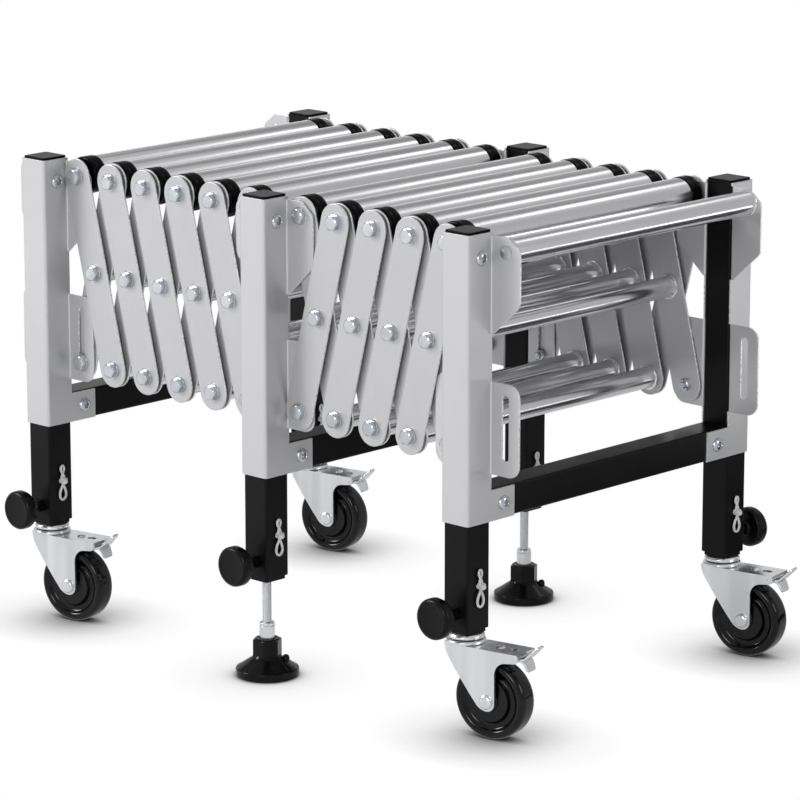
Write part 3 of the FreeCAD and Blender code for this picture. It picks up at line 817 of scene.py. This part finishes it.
pad_shape = turned([
    (0, 0), (39.6, 0), (40.8, 1.0), (41.0, 2.0), (41.0, 9.6), (40.4, 10.8), (39.2, 11.4), (37.4, 12.2),
    (21.0, 23.4), (19.4, 24.6), (18.4, 26.4), (17.6, 27.6), (0, 27.6),
], 72)
pad_neck = hexagon(neck_radius, neck_top - neck_low, 1.2)
pad_lip = turned([(12.4, 0.0), (13.2, 0.9), (15.0, 0.9), (15.8, 0.0), (12.4, 0.0)], 36)
pad_screw = turned([(0, 6.0), (2.6, 5.4), (4.2, 3.6), (4.6, 1.4), (4.6, -5.0), (0, -5.0)], 20)
pad_plastic = black_moulding("pad_plastic", 0.12, 900.0)
coupler = turned([
    (0, 0), (9.2, 0), (10.0, 0.8), (10.0, 17.6), (9.2, 18.2), (9.2, 19.0), (9.8, 19.6), (9.8, 21.2),
    (9.0, 22.0), (0, 22.0),
], 28)
foot_rod = threaded_rod(0, rod_top - coupler_top)
pads = bmesh.new()
rods = bmesh.new()
for side in sides:
    place = Vector((frame_x["middle"], side * post_y, feet_low))
    lay(pads, pad_shape, place)
    lay(pads, pad_neck, place + Vector((0, 0, neck_low)))
    lay(pads, pad_lip, place + Vector((0, 0, neck_top)))
    lay(pads, pad_screw, place + Vector(pad_screw_place))
    lay(rods, coupler, place + Vector((0, 0, neck_top)))
    lay(rods, foot_rod, place + Vector((0, 0, coupler_top - 1.0)))
add_piece("foot_pads", pads, pad_plastic, "black_plastic", "levelling_feet")
add_piece("foot_rods", rods, caster_zinc, "zinc_plate", "levelling_feet")


# Scissor arms: flat steel bars with round ends, three holes each, painted like the channels. The
# outer arms lie outside the channels' ears and the inner arms inside them.
arm_span = 260.0
arm_half_width = 23.8
arm_thickness = 3.0
outer_arm_y = 234.0
inner_arm_y = 226.5
cell_pitch = 64.0
pivot_low = pivot_top - math.sqrt(arm_span ** 2 - cell_pitch ** 2)
pivot_mid = (pivot_top + pivot_low) / 2
lean = math.asin(cell_pitch / arm_span)
arm_edge = 1.1


def arm_paint():
    # Satin silver like the channels, a little duller, with faint rolling marks along the bars.
    finish, shade = new_finish("arm_paint")
    place = stretched(shade, (1, 1, 0.12))
    marks = noise(shade, place, 240.0, 3.0)
    drift = noise(shade, stretched(shade, (1, 1, 1)), 7.0, 3.0)
    colour = blended(shade, 0.4 * marks + 0.6 * drift, (0.54, 0.54, 0.555), (0.64, 0.64, 0.655))
    surface(shade, colour, 0.30 + 0.10 * drift + 0.06 * marks, marks, 0.00002, Metallic=0.55)
    return finish


def arm_bar():
    # The middle sheet of a bar, drawn upright round its middle pivot.
    bm = bmesh.new()
    segments = 48
    verts = bmesh.ops.create_circle(bm, cap_ends=True, radius=arm_half_width, segments=segments)["verts"]
    bmesh.ops.rotate(bm, cent=(0, 0, 0), matrix=Matrix.Rotation(math.pi / segments, 3, "Z"), verts=verts)
    for vert in verts:
        vert.co.y += math.copysign(arm_span / 2, vert.co.y)
    bmesh.ops.rotate(bm, cent=(0, 0, 0), matrix=Matrix.Rotation(math.pi / 2, 3, "X"), verts=bm.verts)
    return kept_shape(bm)


lattices = {"left": (frame_x["left"] + pivot_offset, 5), "right": (frame_x["middle"] + pivot_offset, 4)}
arm_silver = arm_paint()
bar = arm_bar()
for end, (start, cells) in lattices.items():
    slope = -lean if end == "left" else lean
    for cell in range(cells):
        x = start + (cell + 0.5) * cell_pitch
        outer = bmesh.new()
        inner = bmesh.new()
        for side in sides:
            outer_place = (x, side * (outer_arm_y - arm_thickness / 2), pivot_mid)
            inner_place = (x, side * (inner_arm_y - arm_thickness / 2), pivot_mid)
            lay_turned(outer, bar, outer_place, Matrix.Rotation(slope, 4, "Y"))
            lay_turned(inner, bar, inner_place, Matrix.Rotation(-slope, 4, "Y"))
        number = str(cell + 1)
        for label, bm in (("outer", outer), ("inner", inner)):
            node = end + "_" + label + "_arms_" + number
            add_piece(end + "_" + label + "_bars_" + number, bm, arm_silver, "silver_paint", node,
                      wall=arm_thickness, edge=arm_edge, rim=edge_highlight_paint)


# Ties and pivot bolts: plated tubes with end flanges hold the two sides of the lattice apart, and
# hexagon bolts go through the arms into them. The axles of the rollers end in the same heads.
tie_radius = 14.0
tie_flange_radius = 17.0
tie_end = 223.5
head_radius = 10.4
head_length = 6.0
washer_radius = 11.8
washer_thickness = 1.4
bolt_face = 234.3
slot_pin_face = 230.5
pin_nut_radius = 8.5
axle_radius = 5.0
pin_nut_face = 227.0
head_crease = 24.0


def drawn_tube_steel():
    # Drawn and plated tube: faint polishing rings in the gloss round the tube, and a soft cloudiness.
    finish, shade = new_finish("drawn_tube_steel")
    rings = noise(shade, stretched(shade, (0.02, 1, 0.02)), 900.0, 2.0)
    cloud = noise(shade, stretched(shade, (1, 0.2, 1)), 14.0, 3.0)
    colour = blended(shade, cloud, (0.70, 0.70, 0.715), (0.78, 0.78, 0.795))
    surface(shade, colour, 0.16 + 0.05 * cloud + 0.04 * rings, rings, 0.0000001, Metallic=1.0)
    return finish


tube_steel = drawn_tube_steel()
flange_end = [(0, tie_end), (tie_flange_radius - 0.8, tie_end), (tie_flange_radius, tie_end - 0.8),
              (tie_flange_radius, tie_end - 2.4), (tie_flange_radius - 0.6, tie_end - 3.0),
              (tie_radius + 0.5, tie_end - 3.4), (tie_radius, tie_end - 4.4)]
tie_tube = turned(flange_end + [(r, -h) for r, h in reversed(flange_end)], 40)
bolt_head = hexagon(head_radius, head_length, 1.4)
washer = turned([(0, washer_thickness), (washer_radius - 0.5, washer_thickness), (washer_radius, 0.9),
                 (washer_radius, 0), (0, 0)], 40)
pin_nut = hexagon(pin_nut_radius, head_length, 1.2)
thread_end = turned([(axle_radius, 0), (axle_radius, 9.0), (axle_radius - 0.8, 10.0), (0, 10.0)], 20)
axle_profile = [(0, -bolt_face), (axle_radius, -bolt_face), (axle_radius, bolt_face), (0, bolt_face)]
axle_rod = turned(axle_profile, 20, 0.3)


def lay_heads(bm, x, face, z):
    for side in sides:
        lay(bm, washer, (x, side * face, z), (0, side, 0))
        lay(bm, bolt_head, (x, side * (face + washer_thickness), z), (0, side, 0))


def lay_nuts(bm, x, face, z):
    for side in sides:
        lay(bm, pin_nut, (x, side * face, z), (0, -side, 0))
        lay(bm, thread_end, (x, side * face, z), (0, -side, 0))


for end, (start, cells) in lattices.items():
    for cell in range(cells):
        x0 = start + cell * cell_pitch
        x1 = x0 + cell_pitch
        inner_low, outer_low, outer_top = (x0, x1, x0) if end == "left" else (x1, x0, x1)
        at_end_frame = cell == (0 if end == "left" else cells - 1)
        at_middle_frame = cell == (cells - 1 if end == "left" else 0)
        number = str(cell + 1)
        ties = bmesh.new()
        inner_bolts = bmesh.new()
        outer_bolts = bmesh.new()
        lay(ties, tie_tube, ((x0 + x1) / 2, 0, pivot_mid), (0, 1, 0))
        lay_heads(inner_bolts, (x0 + x1) / 2, bolt_face, pivot_mid)
        if at_end_frame:
            lay_heads(inner_bolts, inner_low, slot_pin_face, pivot_low)
            lay_nuts(inner_bolts, inner_low, tie_end, pivot_low)
        else:
            lay(ties, tie_tube, (inner_low, 0, pivot_low), (0, 1, 0))
            lay_heads(inner_bolts, inner_low, bolt_face, pivot_low)
            lay_heads(outer_bolts, outer_top, outer_arm_y, pivot_top)
            lay(outer_bolts, axle_rod, (outer_top, 0, pivot_top), (0, 1, 0))
        if at_middle_frame:
            lay_heads(outer_bolts, outer_low, outer_arm_y, pivot_low)
            lay_nuts(outer_bolts, outer_low, pin_nut_face, pivot_low)
        inner_node = end + "_inner_arms_" + number
        add_piece(end + "_ties_" + number, ties, tube_steel, "roller_steel", inner_node)
        add_piece(end + "_tie_bolts_" + number, inner_bolts, zinc, "zinc_plate", inner_node,
                  crease=head_crease)
        if outer_bolts.verts:
            outer_node = end + "_outer_arms_" + number
            add_piece(end + "_axle_bolts_" + number, outer_bolts, zinc, "zinc_plate", outer_node,
                      crease=head_crease)
        else:
            outer_bolts.free()


# Frame axles: the bolts through the channels' upper ears. They carry the first and last rollers
# of each lattice, and the end bar has its own low round heads.
ear_face = 230.0
low_head = turned([(0, 2.4), (8.2, 2.4), (9.0, 1.6), (9.0, 0), (0, 0)], 32)
axle_places = {
    "left": [(1, bolt_face)],
    "middle": [(-1, ear_face), (1, ear_face)],
    "right": [(-1, bolt_face)],
}
for name, places in axle_places.items():
    bm = bmesh.new()
    for way, face in places:
        x = frame_x[name] + way * pivot_offset
        lay_heads(bm, x, face, pivot_top)
        lay(bm, axle_rod, (x, 0, pivot_top), (0, 1, 0))
    if name == "right":
        for side in sides:
            lay(bm, low_head, (frame_x[name] + pivot_offset, side * ear_face, pivot_top), (0, side, 0))
    add_piece(name + "_frame_axles", bm, zinc, "zinc_plate", name + "_fasteners", crease=head_crease)


# Rollers: plated steel tubes that turn on the axles, with moulded black bearing caps pressed into
# their ends.
roller_radius = 24.0
roller_body = 202.0
cap_radius = 25.0
cap_bore = axle_radius + 0.1
cap_groove = 24.4

roller_tube = turned([
    (0, roller_body), (roller_radius - 0.6, roller_body), (roller_radius, roller_body - 0.8),
    (roller_radius, 0.8 - roller_body), (roller_radius - 0.6, -roller_body), (0, -roller_body),
], 72)
cap_shape = turned([
    (cap_bore, 19.0), (9.0, 19.0), (9.6, 17.6), (14.0, 17.6), (14.8, 19.4), (22.0, 20.0), (24.0, 19.4),
    (cap_radius, 18.0), (cap_radius, 12.0), (cap_groove, 11.2), (cap_groove, 10.2), (cap_radius, 9.4),
    (cap_radius, 1.6), (cap_groove, 0.0), (cap_bore, 0.0), (cap_bore, 19.0),
], 64)
cap_plastic = black_moulding("cap_plastic", 0.07, 1200.0, 0.06)
roller_places = []
for start, cells in lattices.values():
    roller_places += [start + cell_pitch * step for step in range(cells + 1)]
for number, x in enumerate(roller_places, 1):
    tube = bmesh.new()
    caps = bmesh.new()
    lay(tube, roller_tube, (x, 0, pivot_top), (0, 1, 0))
    for side in sides:
        lay(caps, cap_shape, (x, side * roller_body, pivot_top), (0, side, 0))
    node = "roller_" + str(number)
    add_piece(node + "_tube", tube, tube_steel, "roller_steel", node)
    add_piece(node + "_caps", caps, cap_plastic, "black_plastic", node)


# End bar: a plated steel tube between the right frame's outer ears, with a small collar at each
# end. The low round heads of its bolts show on the outside of the ears.
bar_radius = 16.0
collar_radius = 17.6
bar_end = [(0, beam_reach), (17.2, beam_reach), (collar_radius, beam_reach - 0.5),
           (collar_radius, beam_reach - 2.2), (17.0, beam_reach - 3.0), (bar_radius, beam_reach - 3.8)]
end_bar = turned(bar_end + [(r, -h) for r, h in reversed(bar_end)], 48)
bm = bmesh.new()
lay(bm, end_bar, (frame_x["right"] + pivot_offset, 0, pivot_top), (0, 1, 0))
add_piece("end_bar_tube", bm, tube_steel, "roller_steel", "right_channels")


# Floor, light and camera: a pale sweep under large soft lamps, seen from the photograph's angle.
# The camera looks through the sweep at a white world, so that a leg let down past it stays in sight, and
# the sweep paints a soft shadow on that world where the wheels and feet stand, darker where less of the sky
# is open.
floor_half = 30.0
floor_white = (0.9, 0.9, 0.9, 1)
floor_shine = 0.3
shadow_reach = 0.12
world_light = 0.16
world_seen = 0.84
world_mirrored = 0.44

floor_mesh = bpy.data.meshes.new("floor")
bm = bmesh.new()
bmesh.ops.create_grid(bm, x_segments=1, y_segments=1, size=floor_half)
bm.to_mesh(floor_mesh)
bm.free()
floor = bpy.data.objects.new("floor", floor_mesh)
bpy.context.scene.collection.objects.link(floor)

finish, shade = new_finish("pale_floor")
seen = shade.node("LightPath", {}, {}, "Is Camera Ray")
mirrored = shade.node("LightPath", {}, {}, "Is Glossy Ray")
matt = shade.node("BsdfDiffuse", {}, {"Color": floor_white})
glow = shade.node("Emission", {}, {"Color": (1, 1, 1, 1), "Strength": floor_shine * mirrored})
sweep = shade.node("AddShader", {}, {0: matt, 1: glow})
open_sky = shade.node("AmbientOcclusion", {"samples": 12}, {"Distance": shadow_reach}, "AO")
# Painted shadow: the white world seen through the sweep is darkened by how closed in the sky is near the
# wheels and feet.
clear = shade.node("BsdfTransparent", {}, {"Color": open_sky * open_sky})
both = shade.node("MixShader", {}, {0: seen, 1: sweep, 2: clear})
shade.node("OutputMaterial", {}, {"Surface": both})
floor_mesh.materials.append(finish)

world = bpy.data.worlds.new("studio")
world.use_nodes = True
world.node_tree.nodes.clear()
shade = Shade(world.node_tree)
seen = shade.node("LightPath", {}, {}, "Is Camera Ray")
mirrored = shade.node("LightPath", {}, {}, "Is Glossy Ray")
sky_level = world_light + world_seen * seen + world_mirrored * mirrored
sky = shade.node("Background", {}, {"Color": (1, 1, 1, 1), "Strength": sky_level})
shade.node("OutputWorld", {}, {"Surface": sky})
bpy.context.scene.world = world


def card(name, centre, facing, width, height, grey):
    # A plain card beside the object; only reflections see it.
    mesh = bpy.data.meshes.new(name)
    bm = bmesh.new()
    bmesh.ops.create_grid(bm, x_segments=1, y_segments=1, size=0.5)
    bmesh.ops.scale(bm, vec=(width, height, 1), verts=bm.verts)
    bm.to_mesh(mesh)
    bm.free()
    finish, shade = new_finish(name)
    tone = shade.node("Emission", {}, {"Color": (grey, grey, grey, 1), "Strength": 1.0})
    shade.node("OutputMaterial", {}, {"Surface": tone})
    mesh.materials.append(finish)
    made = bpy.data.objects.new(name, mesh)
    made.location = centre
    made.rotation_euler = Vector(facing).to_track_quat("Z", "Y").to_euler()
    made.visible_camera = False
    made.visible_diffuse = False
    made.visible_shadow = False
    bpy.context.scene.collection.objects.link(made)


card("back_left_card", (-1.9, 2.2, 1.2), (1.9, -2.2, 0), 3.4, 2.4, 0.42)
card("right_card", (2.0, 2.0, 1.5), (-1.0, -1.0, 0), 1.8, 3.0, 0.50)
card("floor_flag", (1.0, 1.05, 0.004), (0, 0, 1), 0.9, 1.4, 0.05)
card("floor_strip", (1.3, -1.5, 0.004), (0, 0, 1), 1.8, 1.4, 1.2)
card("far_strip", (1.95, 2.0, 0.004), (0, 0, 1), 1.2, 1.0, 3.6)
card("low_back_card", (-1.85, 2.14, 1.0), (1.9, -2.2, 0), 3.4, 0.45, 1.1)
card("high_flag", (-1.2, 2.45, 2.75), (1.2, -2.45, -2.1), 1.7, 0.75, 0.28)


def softbox(name, place, aim, width, height, power):
    lamp = bpy.data.lights.new(name, "AREA")
    lamp.shape = "RECTANGLE"
    lamp.size = width
    lamp.size_y = height
    lamp.energy = power
    made = bpy.data.objects.new(name, lamp)
    made.location = place
    made.rotation_euler = (Vector(aim) - Vector(place)).to_track_quat("-Z", "Y").to_euler()
    bpy.context.scene.collection.objects.link(made)


softbox("key_lamp", (-3.4, -3.2, 2.6), (0, 0, 0.35), 1.6, 1.6, 140.0)
softbox("fill_lamp", (1.5, -4.2, 1.7), (0.3, 0.1, 0.4), 1.4, 1.4, 48.0)
softbox("side_lamp", (3.4, 1.2, 1.5), (0.4, 0.2, 0.3), 1.2, 1.2, 20.0)
softbox("back_lamp", (0.3, 2.6, 3.0), (0, 0, 0.6), 0.9, 0.4, 1.7)

look_down = math.radians(13.109)
look_round = math.radians(43.6)
camera = bpy.data.cameras.new("camera")
camera.sensor_width = 36.0
camera.lens = 187.2
camera.clip_end = 100.0
eye = bpy.data.objects.new("camera", camera)
eye.location = (3.6893, -3.8624, 1.5645)
eye.rotation_euler = (math.pi / 2 - look_down, 0, look_round)
bpy.context.scene.collection.objects.link(eye)
bpy.context.scene.camera = eye
bpy.context.scene.view_settings.view_transform = "Standard"
